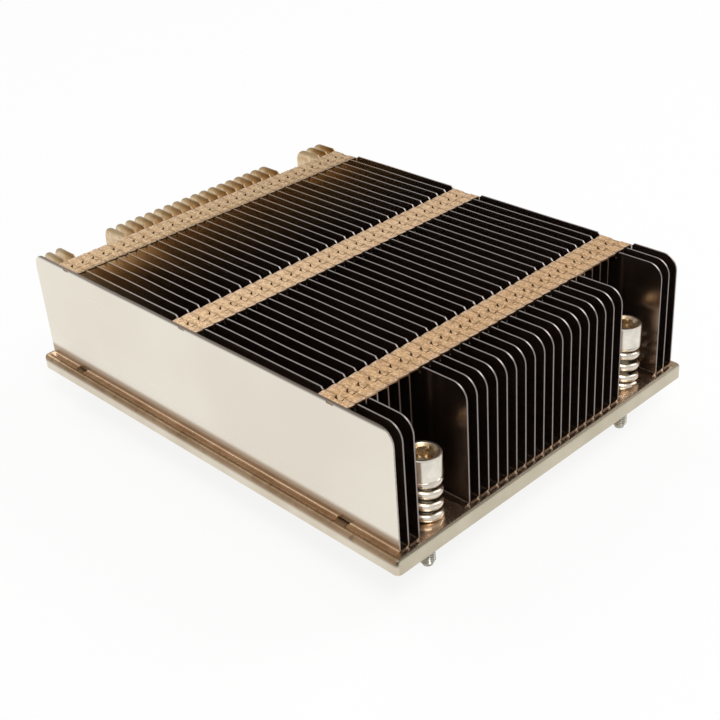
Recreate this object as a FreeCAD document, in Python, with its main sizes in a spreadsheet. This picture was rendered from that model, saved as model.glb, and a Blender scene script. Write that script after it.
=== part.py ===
"""Passive 1U server CPU heatsink: folded fins soldered on a plate, held by four sprung screws.

Frame: X across the fins, Y along them (the way the air flows, front at -Y), +Z up.
The origin is the middle of the base's underside, the face that lies on the processor.
All sizes are millimetres and are kept in the spreadsheet "sizes".
"""
import FreeCAD, Part
import math
import os

import Sketcher
from FreeCAD import Placement, Rotation, Vector

SIZES = {
    # base plate
    "side_ledge": 1.75,
    "base_length": 105.0,
    "base_thickness": 3.0,
    "base_edge_round": 0.7,
    "base_corner_round": 1.0,
    # hole pattern of the processor socket
    "hole_pitches": 11.2,
    "hole_inset": 5.5,
    "hole_clearance": 0.25,
    # fin stack
    "overall_height": 26.5,
    "fin_pitch": 2.5,
    "end_pitch": 2.05,
    "fin_sheet": 0.3,
    "fin_setback": 1.5,
    "fin_corner": 3.0,
    "fold_round": 0.5,
    "end_foot": 1.2,
    "fin_clearance": 0.06,
    # room left between the screw heads and the shorter fins, front and rear
    "notch_gap_front": 3.1,
    "notch_gap_rear": 0.7,
    # tabs that hook each fin to the next
    "tab_width": 7.2,
    "tab_drop": 0.35,
    "tab_taper": 0.25,
    "tab_fold": 0.4,
    "middle_shift": 0.65,
    "slit_width": 0.25,
    "slit_depth": 1.0,
    "slit_ease": 0.45,
    "tongue_root_front": 0.95,
    "tongue_root_rear": 0.85,
    "tongue_tip_front": 1.1,
    "tongue_tip_rear": 0.3,
    "tongue_reach": 0.9,
    "end_slot": 0.8,
    "lock_front": 1.25,
    "lock_rear": 1.15,
    "lock_slant": 0.9,
    "lock_depth": 0.9,
    # captive screws
    "head_radius": 3.3,
    "head_height": 4.35,
    "head_chamfer": 0.3,
    "dish_radius": 2.7,
    "dish_depth": 0.7,
    "cross_span": 3.8,
    "cross_slot": 1.2,
    "cross_depth": 2.0,
    "shank_radius": 1.45,
    "stub_length": 7.9,
    "stub_point": 0.5,
    "groove_depth": 0.3,
    # springs under the heads
    "spring_height": 8.4,
    "spring_wire": 1.6,
    "spring_turns": 2.8,
    # retaining clips under the base
    "clip_thickness": 0.6,
    "clip_radius": 3.0,
    "clip_gap": 1.8,
    "clip_clearance": 0.05,
    "recess_depth": 0.7,
    "recess_clearance": 0.3,
}
FIN_COUNT = 32
FULL_TURN = 360.0

doc = FreeCAD.newDocument("heatsink")
sheet = doc.addObject("Spreadsheet::Sheet", "sizes")
for row, (alias, value) in enumerate(SIZES.items(), start=1):
    sheet.set(f"A{row}", alias)
    sheet.set(f"B{row}", str(value))
    sheet.setAlias(f"B{row}", alias)
doc.recompute()


def cell(name):
    """The sheet's present value of one size."""
    return float(sheet.get(name))


def number(text):
    """Value of a size formula: aliases with + - * / and brackets, worked out by the sheet."""
    return float(sheet.evalExpression(text))


def formula(text):
    """The same formula as an expression that other objects can follow."""
    words = text.replace("(", " ( ").replace(")", " ) ").split()
    return " ".join(f"sizes.{word}" if word in SIZES else word for word in words)


# Formulas that several pieces share, so that what fits together moves together.
BASE_WIDTH = f"( {FIN_COUNT - 1} * fin_pitch + 2 * side_ledge )"
HOLE_X = "( hole_pitches * fin_pitch )"
HOLE_Y = "( base_length / 2 - hole_inset )"
FIN_LENGTH = "( base_length - 2 * fin_setback )"
FIN_HEIGHT = "( overall_height - base_thickness )"
HALF_SHEET = "fin_sheet / 2"
TAB_TOP = f"( {FIN_HEIGHT} - tab_drop )"
SHOULDER = f"( fin_pitch - {HALF_SHEET} - fin_clearance )"
END_SHOULDER = f"( end_pitch - {HALF_SHEET} - fin_clearance )"
SHORT_FRONT = f"( head_radius + notch_gap_front - {HOLE_Y} )"
SHORT_REAR = f"( {HOLE_Y} - head_radius - notch_gap_rear )"
FRONT_TAB = f"( {SHORT_FRONT} + tab_width / 2 )"
REAR_TAB = f"( {SHORT_REAR} - tab_width / 2 )"
MIDDLE_TAB = f"( {FRONT_TAB} / 2 + {REAR_TAB} / 2 + middle_shift )"
SPRING_RADIUS = "( head_radius - spring_wire / 2 )"
# tongues: front and rear reach at the root, the same at the tip, and how far they stick out
TONGUE = ("tongue_root_front", "tongue_root_rear", "tongue_tip_front", "( 0 - tongue_tip_rear )", "tongue_reach")
END_TONGUE = ("( end_slot - fin_clearance )",) * 4 + ("fin_sheet",)


def origin_part(body, role):
    """One of a body's own origin planes or axes, such as XY_Plane or Y_Axis."""
    return next(item for item in body.Origin.OriginFeatures if item.Role == role)


def new_body(label):
    body = doc.addObject("PartDesign::Body", label)
    body.Label = label
    return body


def draw_loop(sketch, points, arcs=None):
    """Draw one closed loop whose corners are size formulas; arcs maps a side to its radius formula.

    Every corner is held by its X and Y distance from the sketch's origin, so the loop follows the
    sheet. A side named in arcs becomes a quarter-round bend instead of a straight line.
    """
    arcs = arcs or {}
    corners = [Vector(number(across), number(up), 0) for across, up in points]
    first = sketch.GeometryCount
    count = len(corners)
    for side in range(count):
        start = corners[side]
        end = corners[(side + 1) % count]
        if side in arcs:
            sketch.addGeometry(bend(start, end, number(arcs[side][0]), arcs[side][1]), False)
        else:
            sketch.addGeometry(Part.LineSegment(start, end), False)
    for side in range(count):
        here = first + side
        after = first + (side + 1) % count
        sketch.addConstraint(Sketcher.Constraint("Coincident", here, end_of(arcs, side),
                                                 after, start_of(arcs, (side + 1) % count)))
        vertex = start_of(arcs, side)
        for kind, text, value in (("DistanceX", points[side][0], corners[side].x),
                                  ("DistanceY", points[side][1], corners[side].y)):
            index = sketch.addConstraint(Sketcher.Constraint(kind, -1, 1, here, vertex, value))
            sketch.setExpression(f"Constraints[{index}]", formula(text))
        if side in arcs:
            radius = number(arcs[side][0])
            index = sketch.addConstraint(Sketcher.Constraint("Radius", here, radius))
            sketch.setExpression(f"Constraints[{index}]", formula(arcs[side][0]))


def bend(start, end, radius, turn):
    """Quarter-round arc between two corners; turn is +1 to the left of travel and -1 to the right."""
    middle = (start + end) * 0.5
    chord = end - start
    normal = Vector(-chord.y, chord.x, 0).normalize() * turn
    height = math.sqrt(max(radius ** 2 - (chord.Length / 2) ** 2, 0.0))
    centre = middle + normal * height
    circle = Part.Circle(centre, Vector(0, 0, 1), radius)
    low = circle.parameter(start if turn > 0 else end)
    high = circle.parameter(end if turn > 0 else start)
    return Part.ArcOfCircle(circle, low, high)


def start_of(arcs, side):
    """The end number of a side's first corner; an arc drawn clockwise starts at its far end."""
    return 2 if side in arcs and arcs[side][1] < 0 else 1


def end_of(arcs, side):
    return 1 if side in arcs and arcs[side][1] < 0 else 2


def new_sketch(body, name, role, lift="0"):
    """A sketch on one of the body's origin planes, moved along its normal by a formula."""
    sketch = body.newObject("Sketcher::SketchObject", name)
    sketch.AttachmentSupport = [(origin_part(body, role), "")]
    sketch.MapMode = "FlatFace"
    sketch.AttachmentOffset = Placement(Vector(0, 0, number(lift)), Rotation())
    sketch.setExpression("AttachmentOffset.Base.z", formula(lift))
    return sketch


def pad(body, sketch, name, length):
    feature = body.newObject("PartDesign::Pad", name)
    feature.Profile = sketch
    feature.Length = number(length)
    feature.setExpression("Length", formula(length))
    return feature


def pocket(body, sketch, name, length):
    feature = body.newObject("PartDesign::Pocket", name)
    feature.Profile = sketch
    feature.Length = number(length)
    feature.setExpression("Length", formula(length))
    return feature


def along(body, profile, name, rear, front):
    """Pad a cross-section lying in the XZ plane from y = rear forward to y = front."""
    profile.AttachmentOffset = Placement(Vector(0, 0, -number(rear)), Rotation())
    profile.setExpression("AttachmentOffset.Base.z", formula(f"0 - {rear}"))
    return pad(body, profile, name, f"{rear} - {front}")


def add_foot_and_blade(body, front, rear, shoulder):
    """The sheet's L-shaped section: an upright blade and a foot folded toward -X on the base."""
    inner = "( fold_round - fin_sheet )"
    section = new_sketch(body, "section", "XZ_Plane")
    points = [(f"0 - {shoulder}", "0"),
              ("fin_sheet / 2 - fold_round", "0"),
              (HALF_SHEET, "fold_round"),
              (HALF_SHEET, FIN_HEIGHT),
              ("0 - fin_sheet / 2", FIN_HEIGHT),
              ("0 - fin_sheet / 2", f"fin_sheet + {inner}"),
              (f"0 - fin_sheet / 2 - {inner}", "fin_sheet"),
              (f"0 - {shoulder}", "fin_sheet")]
    draw_loop(section, points, {1: ("fold_round", 1), 5: (inner, -1)})
    return along(body, section, "blade", rear, front)


def round_the_top_corners(body, front, rear):
    """Cut the two upper corners of a blade to quarter rounds."""
    cutter = new_sketch(body, "corner_rounds", "YZ_Plane")
    low = f"{FIN_HEIGHT} - fin_corner"
    high = f"{FIN_HEIGHT} + fin_corner"
    draw_loop(cutter, [(front, low), (f"{front} + fin_corner", FIN_HEIGHT),
                       (f"{front} + fin_corner", high), (f"{front} - fin_corner", high),
                       (f"{front} - fin_corner", low)], {0: ("fin_corner", -1)})
    draw_loop(cutter, [(rear, low), (f"{rear} - fin_corner", FIN_HEIGHT),
                       (f"{rear} - fin_corner", high), (f"{rear} + fin_corner", high),
                       (f"{rear} + fin_corner", low)], {0: ("fin_corner", 1)})
    cut = pocket(body, cutter, "corner_cut", "4 * fin_sheet")
    cut.Midplane = True
    return cut


def add_tabs(body, shoulder, tongue_shape):
    """Three tabs along the top, bent toward -X, each with a tongue that drops in the next fin's tab.

    One tab is modelled in the front row and repeated: the blade is slit and cut down, the freed
    strip is bent over, its tip is tapered, the tongue is added and the neighbour's tongue gets
    its own recess at the bend.
    """
    edge_low = f"( {FRONT_TAB} - tab_width / 2 )"
    edge_high = f"( {FRONT_TAB} + tab_width / 2 )"
    bend_low = f"( {TAB_TOP} - tab_fold )"
    slit_low = f"( {TAB_TOP} - slit_depth )"
    above = f"( {FIN_HEIGHT} + fin_sheet )"
    inner = "( tab_fold - fin_sheet )"
    tip = f"( 0 - {shoulder} )"

    window = new_sketch(body, "tab_window", "YZ_Plane")
    ease_low = f"( {FIN_HEIGHT} - slit_ease )"
    draw_loop(window, [(f"{edge_low} - slit_width", slit_low), (edge_low, slit_low), (edge_low, bend_low),
                       (edge_high, bend_low), (edge_high, slit_low), (f"{edge_high} + slit_width", slit_low),
                       (f"{edge_high} + slit_width", ease_low),
                       (f"{edge_high} + slit_width + slit_ease", FIN_HEIGHT),
                       (f"{edge_high} + slit_width + slit_ease", above),
                       (f"{edge_low} - slit_width - slit_ease", above),
                       (f"{edge_low} - slit_width - slit_ease", FIN_HEIGHT),
                       (f"{edge_low} - slit_width", ease_low)])
    window_cut = pocket(body, window, "tab_window_cut", "4 * fin_sheet")
    window_cut.Midplane = True

    strip = new_sketch(body, "tab_section", "XZ_Plane")
    draw_loop(strip, [(HALF_SHEET, bend_low), ("fin_sheet / 2 - tab_fold", TAB_TOP), (tip, TAB_TOP),
                      (tip, f"{TAB_TOP} - fin_sheet"), (f"0 - fin_sheet / 2 - {inner}", f"{TAB_TOP} - fin_sheet"),
                      ("0 - fin_sheet / 2", bend_low)], {0: ("tab_fold", 1), 4: (inner, 1)})
    tab = along(body, strip, "tab", edge_high, edge_low)

    trims = new_sketch(body, "tab_trims", "XY_Plane", f"{TAB_TOP} + fin_clearance")
    past = f"( {tip} - tab_taper )"
    root = "( 0 - fin_sheet )"
    draw_loop(trims, [(root, edge_low), (past, f"{edge_low} + tab_taper"), (past, f"{edge_low} - tab_taper"),
                      (root, f"{edge_low} - tab_taper")])
    draw_loop(trims, [(root, edge_high), (root, f"{edge_high} + tab_taper"), (past, f"{edge_high} + tab_taper"),
                      (past, f"{edge_high} - tab_taper")])
    mouth = "( fin_sheet / 2 + fin_clearance )"
    back = "( fin_sheet / 2 - lock_depth )"
    draw_loop(trims, [(mouth, f"{FRONT_TAB} - lock_front"), (mouth, f"{FRONT_TAB} + lock_rear"),
                      (back, f"{FRONT_TAB} + lock_rear - lock_slant"), (back, f"{FRONT_TAB} - lock_front")])
    trim_cut = pocket(body, trims, "tab_trim_cut", "fin_sheet + 2 * fin_clearance")

    lip = new_sketch(body, "tongue_outline", "XY_Plane", f"{TAB_TOP} - fin_sheet")
    root_front, root_rear, tip_front, tip_rear, reach = tongue_shape
    end = f"( {tip} - {reach} )"
    draw_loop(lip, [(tip, f"{FRONT_TAB} - {root_front}"), (tip, f"{FRONT_TAB} + {root_rear}"),
                    (end, f"{FRONT_TAB} + {tip_rear}"), (end, f"{FRONT_TAB} - {tip_front}")])
    tongue = pad(body, lip, "tongue", "fin_sheet")

    repeat_rows(body, [window_cut, tab, trim_cut, tongue])


def repeat_rows(body, features):
    """Copy the features of the front row to the middle and the rear row."""
    for name, row in (("middle_row", MIDDLE_TAB), ("rear_row", REAR_TAB)):
        copy = body.newObject("PartDesign::LinearPattern", name)
        copy.Originals = features
        copy.Direction = (origin_part(body, "Y_Axis"), [""])
        copy.Length = number(f"{row} - {FRONT_TAB}")
        copy.setExpression("Length", formula(f"{row} - {FRONT_TAB}"))
        copy.Occurrences = 2
        body.Tip = copy


def place(item, across, along_y, up):
    """Bind an object's place to the sheet."""
    item.Placement = Placement(Vector(number(across), number(along_y), number(up)), Rotation())
    item.setExpression("Placement.Base.x", formula(across))
    item.setExpression("Placement.Base.y", formula(along_y))
    item.setExpression("Placement.Base.z", formula(up))


def fin_place(index):
    """X of one fin's sheet centre; the end plate stands a little nearer to its neighbour."""
    if index == 0:
        return f"fin_pitch * {1 - (FIN_COUNT - 1) / 2} - end_pitch"
    return f"fin_pitch * {index - (FIN_COUNT - 1) / 2}"


def is_short(index):
    """The four fins on each side whose line would run through the screws."""
    return index in (3, 4, 5, 6) or FIN_COUNT - 1 - index in (3, 4, 5, 6)


def make_fin(index):
    """One folded fin; the two that border a screw on its right have a half-width foot."""
    body = new_body(f"fin_{index:02d}")
    short = is_short(index)
    front = SHORT_FRONT if short else f"( 0 - {FIN_LENGTH} / 2 )"
    rear = SHORT_REAR if short else f"( {FIN_LENGTH} / 2 )"
    shoulder = END_SHOULDER if index == 1 else SHOULDER
    foot = "( fin_pitch / 2 )" if index in (7, FIN_COUNT - 3) else shoulder
    add_foot_and_blade(body, front, rear, foot)
    if not short:
        round_the_top_corners(body, front, rear)
    add_tabs(body, shoulder, END_TONGUE if index == 1 else TONGUE)
    place(body, fin_place(index), "0", "base_thickness")
    return body


def make_end_plate():
    """The outer sheet: a short foot on the ledge and three slots that take the first fin's tongues."""
    body = new_body("end_plate")
    front = f"( 0 - {FIN_LENGTH} / 2 )"
    rear = f"( {FIN_LENGTH} / 2 )"
    add_foot_and_blade(body, front, rear, "end_foot")
    round_the_top_corners(body, front, rear)
    slots = new_sketch(body, "tongue_slot", "YZ_Plane")
    low = f"{TAB_TOP} - fin_sheet - fin_clearance"
    high = f"{TAB_TOP} + fin_clearance"
    draw_loop(slots, [(f"{FRONT_TAB} - end_slot", low), (f"{FRONT_TAB} + end_slot", low),
                      (f"{FRONT_TAB} + end_slot", high), (f"{FRONT_TAB} - end_slot", high)])
    slot_cut = pocket(body, slots, "tongue_slot_cut", "4 * fin_sheet")
    slot_cut.Midplane = True
    repeat_rows(body, [slot_cut])
    place(body, fin_place(0), "0", "base_thickness")
    return body


def make_base():
    """The base plate: rounded top edge, rounded corners and four plain holes for the screws."""
    body = new_body("base_plate")
    outline = new_sketch(body, "outline", "XY_Plane")
    half_x = f"( {BASE_WIDTH} / 2 )"
    half_y = "( base_length / 2 )"
    turn = "base_corner_round"
    draw_loop(outline, [(f"{turn} - {half_x}", f"0 - {half_y}"), (f"{half_x} - {turn}", f"0 - {half_y}"),
                        (half_x, f"{turn} - {half_y}"), (half_x, f"{half_y} - {turn}"),
                        (f"{half_x} - {turn}", half_y), (f"{turn} - {half_x}", half_y),
                        (f"0 - {half_x}", f"{half_y} - {turn}"), (f"0 - {half_x}", f"{turn} - {half_y}")],
              {1: (turn, 1), 3: (turn, 1), 5: (turn, 1), 7: (turn, 1)})
    plate = pad(body, outline, "plate", "base_thickness")
    doc.recompute()
    top = number("base_thickness")
    rim = [f"Edge{number_of}" for number_of, edge in enumerate(plate.Shape.Edges, start=1)
           if min(vertex.Z for vertex in edge.Vertexes) > top - 0.001]
    eased = body.newObject("PartDesign::Fillet", "top_edge_round")
    eased.Base = (plate, rim)
    eased.Radius = number("base_edge_round")
    eased.setExpression("Radius", formula("base_edge_round"))
    drilled = drill(body, "holes", "shank_radius + hole_clearance", "4 * base_thickness")
    drilled.Midplane = True
    recessed = drill(body, "clip_recesses", "clip_radius + recess_clearance", "recess_depth")
    recessed.Reversed = True
    body.Tip = recessed
    return body


def drill(body, name, radius_text, depth):
    """Four round holes of one radius, one at each screw."""
    sketch = new_sketch(body, f"{name}_circles", "XY_Plane")
    radius = number(radius_text)
    for side_x, side_y in CORNERS:
        spot = Vector(side_x * number(HOLE_X), side_y * number(HOLE_Y), 0)
        ring = sketch.addGeometry(Part.Circle(spot, Vector(0, 0, 1), radius), False)
        for kind, text, value in (("DistanceX", f"{side_x} * {HOLE_X}", spot.x),
                                  ("DistanceY", f"{side_y} * {HOLE_Y}", spot.y)):
            index = sketch.addConstraint(Sketcher.Constraint(kind, -1, 1, ring, 3, value))
            sketch.setExpression(f"Constraints[{index}]", formula(text))
        index = sketch.addConstraint(Sketcher.Constraint("Radius", ring, radius))
        sketch.setExpression(f"Constraints[{index}]", formula(radius_text))
    return pocket(body, sketch, name, depth)


def revolve(body, sketch, name):
    feature = body.newObject("PartDesign::Revolution", name)
    feature.Profile = sketch
    feature.ReferenceAxis = (sketch, ["V_Axis"])
    feature.Angle = FULL_TURN
    return feature


def make_screw(name, side_x, side_y):
    """Captive screw: dished head with a cross recess, plain shank with a clip groove, tapered point."""
    body = new_body(f"screw_{name}")
    seat = "( base_thickness + spring_height )"
    crown = "( base_thickness + spring_height + head_height )"
    core = "( shank_radius - groove_depth )"
    groove_low = "( recess_depth - clip_thickness - clip_clearance )"
    groove_high = "( recess_depth + clip_clearance )"
    profile = new_sketch(body, "screw_profile", "XZ_Plane")
    draw_loop(profile, [("0", "0 - stub_length"),
                        ("shank_radius - stub_point", "0 - stub_length"),
                        ("shank_radius", "stub_point - stub_length"),
                        ("shank_radius", groove_low),
                        (core, groove_low),
                        (core, groove_high),
                        ("shank_radius", groove_high),
                        ("shank_radius", seat),
                        ("head_radius", seat),
                        ("head_radius", f"{crown} - head_chamfer"),
                        ("head_radius - head_chamfer", crown),
                        ("dish_radius", crown),
                        ("dish_radius - dish_depth", f"{crown} - dish_depth"),
                        ("0", f"{crown} - dish_depth")])
    revolve(body, profile, "turned")
    cross = new_sketch(body, "cross_outline", "XY_Plane", crown)
    arm = "( cross_span / 2 )"
    slot = "( cross_slot / 2 )"
    draw_loop(cross, [(slot, slot), (arm, slot), (arm, f"0 - {slot}"), (slot, f"0 - {slot}"),
                      (slot, f"0 - {arm}"), (f"0 - {slot}", f"0 - {arm}"), (f"0 - {slot}", f"0 - {slot}"),
                      (f"0 - {arm}", f"0 - {slot}"), (f"0 - {arm}", slot), (f"0 - {slot}", slot),
                      (f"0 - {slot}", arm), (slot, arm)])
    recess = pocket(body, cross, "cross_recess", "cross_depth")
    body.Tip = recess
    place(body, f"{side_x} * {HOLE_X}", f"{side_y} * {HOLE_Y}", "0")
    return body


def make_clip(name, side_x, side_y):
    """Open ring in the shank's groove; it rests in the base's recess and stops the screw."""
    body = new_body(f"clip_{name}")
    ring = new_sketch(body, "clip_section", "XZ_Plane")
    bore = "( shank_radius - groove_depth + clip_clearance )"
    low = "( recess_depth - clip_thickness )"
    draw_loop(ring, [(bore, low), ("clip_radius", low), ("clip_radius", "recess_depth"), (bore, "recess_depth")])
    revolve(body, ring, "ring")
    mouth = new_sketch(body, "clip_mouth", "XY_Plane")
    draw_loop(mouth, [("0", "0 - clip_gap / 2"), ("2 * clip_radius", "0 - clip_gap / 2"),
                      ("2 * clip_radius", "clip_gap / 2"), ("0", "clip_gap / 2")])
    opened = pocket(body, mouth, "mouth_cut", "4 * clip_thickness")
    opened.Midplane = True
    body.Tip = opened
    place(body, f"{side_x} * {HOLE_X}", f"{side_y} * {HOLE_Y}", "0")
    return body


def make_spring(name, side_x, side_y):
    """Coil spring: a round wire swept along a left-handed helix, from the base to the head."""
    coil = doc.addObject("Part::Helix", f"coil_{name}")
    coil.setExpression("Pitch", formula("( spring_height - spring_wire ) / spring_turns"))
    coil.setExpression("Height", formula("spring_height - spring_wire"))
    coil.setExpression("Radius", formula(SPRING_RADIUS))
    coil.LocalCoord = "Left-handed"
    coil.Style = "New style"
    wire = doc.addObject("Part::Circle", f"wire_{name}")
    wire.setExpression("Radius", formula("spring_wire / 2"))
    wire.Placement = Placement(Vector(number(SPRING_RADIUS), 0, 0), Rotation(Vector(1, 0, 0), 90))
    wire.setExpression("Placement.Base.x", formula(SPRING_RADIUS))
    doc.recompute()
    spring = doc.addObject("Part::Sweep", f"spring_{name}")
    spring.Label = f"spring_{name}"
    spring.Sections = [wire]
    spring.Spine = (coil, [f"Edge{n}" for n in range(1, len(coil.Shape.Edges) + 1)])
    spring.Solid = True
    spring.Frenet = True
    place(spring, f"{side_x} * {HOLE_X}", f"{side_y} * {HOLE_Y}",
          "base_thickness + spring_wire / 2")
    return spring


CORNERS = ((-1, -1), (1, -1), (-1, 1), (1, 1))
CORNER_NAMES = ("front_left", "front_right", "rear_left", "rear_right")

nodes = [make_base(), make_end_plate()]
nodes += [make_fin(index) for index in range(1, FIN_COUNT)]
for corner_name, (sign_x, sign_y) in zip(CORNER_NAMES, CORNERS):
    nodes.append(make_screw(corner_name, sign_x, sign_y))
    nodes.append(make_spring(corner_name, sign_x, sign_y))
    nodes.append(make_clip(corner_name, sign_x, sign_y))
doc.recompute()

faults = []
for item in doc.Objects:
    if "Invalid" in item.State or "Error" in item.State:
        faults.append(f"{item.Label}: {item.State}")
for node in nodes:
    if node.Shape.isNull() or not node.Shape.isValid() or len(node.Shape.Solids) != 1:
        faults.append(f"{node.Label}: not one sound solid")
if faults:
    raise RuntimeError("; ".join(faults))

os.makedirs("parts", exist_ok=True)
for node in nodes:
    node.Shape.exportStep(f"parts/{node.Label}.step")
    box = node.Shape.BoundBox
    print(f"{node.Label:20s} {node.Shape.Volume:10.2f} mm3  x {box.XMin:8.2f} {box.XMax:8.2f}"
          f"  y {box.YMin:8.2f} {box.YMax:8.2f}  z {box.ZMin:7.2f} {box.ZMax:7.2f}")
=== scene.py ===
# %% [markdown]
# # A passive heatsink for a flat server
#
# The object is a stack of thin folded sheets on a metal plate. Air from the server's own fans runs
# along the sheets. Four screws with springs press the plate on the processor.
#
# The frame comes first: it holds every piece as the CAD program made it. This script dresses it.
# Pieces whose real surface is plain keep the CAD shape and get a finish. The sheets, springs and
# screws get shapes of their own, because their folds, ground ends and threads are what the eye
# looks for at this scale.

# %% Load the frame and keep the CAD box
import math

import bmesh
import bpy
import numpy as np
from mathutils import Matrix, Vector


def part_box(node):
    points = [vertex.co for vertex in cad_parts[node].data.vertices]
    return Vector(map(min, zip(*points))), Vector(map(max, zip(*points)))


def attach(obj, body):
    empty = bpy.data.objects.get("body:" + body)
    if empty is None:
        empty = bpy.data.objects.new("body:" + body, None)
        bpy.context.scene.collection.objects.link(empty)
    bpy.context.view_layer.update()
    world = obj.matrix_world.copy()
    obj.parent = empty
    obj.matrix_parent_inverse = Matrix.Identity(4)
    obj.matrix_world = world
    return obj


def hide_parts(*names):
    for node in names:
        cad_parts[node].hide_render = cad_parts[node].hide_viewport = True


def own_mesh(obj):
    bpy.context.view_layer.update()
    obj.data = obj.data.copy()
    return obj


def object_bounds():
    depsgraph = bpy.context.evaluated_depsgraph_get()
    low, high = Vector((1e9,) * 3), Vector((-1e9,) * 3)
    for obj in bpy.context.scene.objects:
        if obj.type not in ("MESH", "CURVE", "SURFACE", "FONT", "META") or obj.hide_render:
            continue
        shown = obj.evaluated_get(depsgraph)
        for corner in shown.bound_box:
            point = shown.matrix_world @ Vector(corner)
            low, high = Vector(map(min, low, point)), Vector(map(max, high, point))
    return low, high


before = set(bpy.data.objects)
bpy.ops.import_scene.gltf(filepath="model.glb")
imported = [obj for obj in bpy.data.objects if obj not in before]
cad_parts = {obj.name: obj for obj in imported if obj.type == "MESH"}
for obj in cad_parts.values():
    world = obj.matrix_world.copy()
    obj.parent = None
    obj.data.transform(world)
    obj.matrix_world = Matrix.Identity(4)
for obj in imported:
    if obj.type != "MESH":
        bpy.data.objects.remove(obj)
cad_low, cad_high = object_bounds()
MM = 0.001
print("CAD box, mm:", [round(v * 1000, 2) for v in (*cad_low, *cad_high)])

# %% [markdown]
# ## Surfaces from arrays
#
# Every new piece is a grid of points: one direction follows the profile and the other follows the
# path. With numpy a whole grid is one array, so a shape is written as its formula and nothing
# walks over vertices one by one. Faces are the grid's cells. Cells can be left out, which is how
# a slot is cut in a sheet, and edges of two grids that lie together are welded afterwards.

# %% Grid cells and a mesh made of several grids
SHARP_EDGE = 35  # degrees between two faces above which their edge stays sharp


def grid_cells(rows, columns, wrap=False, skip=None):
    """Faces of a rows x columns grid: each cell joins a point with its neighbours right and up."""
    across = np.arange(columns if wrap else columns - 1)
    up, right = np.meshgrid(np.arange(rows - 1), across, indexing="ij")
    beside = (right + 1) % columns
    cells = np.stack([up * columns + right, up * columns + beside,
                      (up + 1) * columns + beside, (up + 1) * columns + right], axis=-1)
    if skip is not None:
        return cells[~skip]
    return cells.reshape(-1, 4)


def make_piece(name, grids, weld=1e-6):
    """One object from several (points, cells) grids, with coincident points welded."""
    points = np.concatenate([g[0].reshape(-1, 3) for g in grids])
    offsets = np.cumsum([0] + [g[0].reshape(-1, 3).shape[0] for g in grids[:-1]])
    cells = np.concatenate([g[1] + offset for g, offset in zip(grids, offsets)])
    mesh = bpy.data.meshes.new(name)
    mesh.from_pydata(points.tolist(), [], cells.tolist())
    work = bmesh.new()
    work.from_mesh(mesh)
    bmesh.ops.remove_doubles(work, verts=work.verts, dist=weld)
    bmesh.ops.dissolve_degenerate(work, edges=work.edges, dist=weld)
    work.to_mesh(mesh)
    work.free()
    mesh.validate()
    piece = bpy.data.objects.new(name, mesh)
    bpy.context.scene.collection.objects.link(piece)
    return piece


def outward(piece):
    """Turn the faces of a closed piece so that they point out."""
    work = bmesh.new()
    work.from_mesh(piece.data)
    bmesh.ops.recalc_face_normals(work, faces=work.faces)
    work.to_mesh(piece.data)
    work.free()
    return piece


def thicken(piece, thickness, face, cut):
    """Give a sheet its thickness, half to each side, with one finish on its faces and another on
    its cut edges, which stay sharp."""
    piece.data.materials.append(face)
    piece.data.materials.append(cut)
    solid = piece.modifiers.new("sheet thickness", "SOLIDIFY")
    solid.material_offset_rim = 1
    solid.thickness = thickness
    solid.offset = 0.0
    solid.use_even_offset = True
    graph = bpy.context.evaluated_depsgraph_get()
    thick = bpy.data.meshes.new_from_object(piece.evaluated_get(graph))
    piece.modifiers.clear()
    thin, piece.data = piece.data, thick
    bpy.data.meshes.remove(thin)
    thick.name = piece.name
    return smooth_below(piece, SHARP_EDGE)


def smooth_below(piece, degrees):
    """Shade as curved where two faces meet at less than this angle, and keep real edges sharp."""
    mesh = piece.data
    mesh.polygons.foreach_set("use_smooth", np.ones(len(mesh.polygons), dtype=bool))
    mesh.set_sharp_from_angle(angle=math.radians(degrees))
    return piece

# %% [markdown]
# ## Shader maths as Python
#
# A finish is a sum of masks: where the sheet is tarnished, where a tab was soldered, where an edge
# is worn. Wrapping a socket in a small class lets those masks be written as ordinary arithmetic,
# and the Math nodes appear behind it.

# %% The socket wrapper and the finish builder
def new_node(tree, kind, settings, values):
    """Any node: its settings first, then a value or a link for each socket."""
    node = tree.nodes.new(kind)
    for key, value in settings.items():
        setattr(node, key, value)
    for key, value in values.items():
        if isinstance(value, bpy.types.NodeSocket):
            tree.links.new(value, node.inputs[key])
        else:
            node.inputs[key].default_value = value
    return node


class Signal:
    """A number in a shader tree. Arithmetic on it adds Math nodes."""

    def __init__(self, finish, socket):
        self.finish = finish
        self.socket = socket

    def _math(self, operation, first, second=0.0):
        return self.finish.add("ShaderNodeMath", {"operation": operation}, {0: first, 1: second})

    def __add__(self, other): return self._math("ADD", self, other)
    def __radd__(self, other): return self._math("ADD", other, self)
    def __sub__(self, other): return self._math("SUBTRACT", self, other)
    def __rsub__(self, other): return self._math("SUBTRACT", other, self)
    def __mul__(self, other): return self._math("MULTIPLY", self, other)
    def __rmul__(self, other): return self._math("MULTIPLY", other, self)
    def __abs__(self): return self._math("ABSOLUTE", self)
    def __mod__(self, other): return self._math("FLOORED_MODULO", self, other)

    def rises(self, start, stop):
        """0 below start, 1 above stop, and a soft step between them."""
        return self.finish.add("ShaderNodeMapRange", {"interpolation_type": "SMOOTHSTEP"},
                               {"Value": self, "From Min": start, "From Max": stop})

    def falls(self, start, stop):
        """1 below start and 0 above stop."""
        return 1 - self.rises(start, stop)


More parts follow.
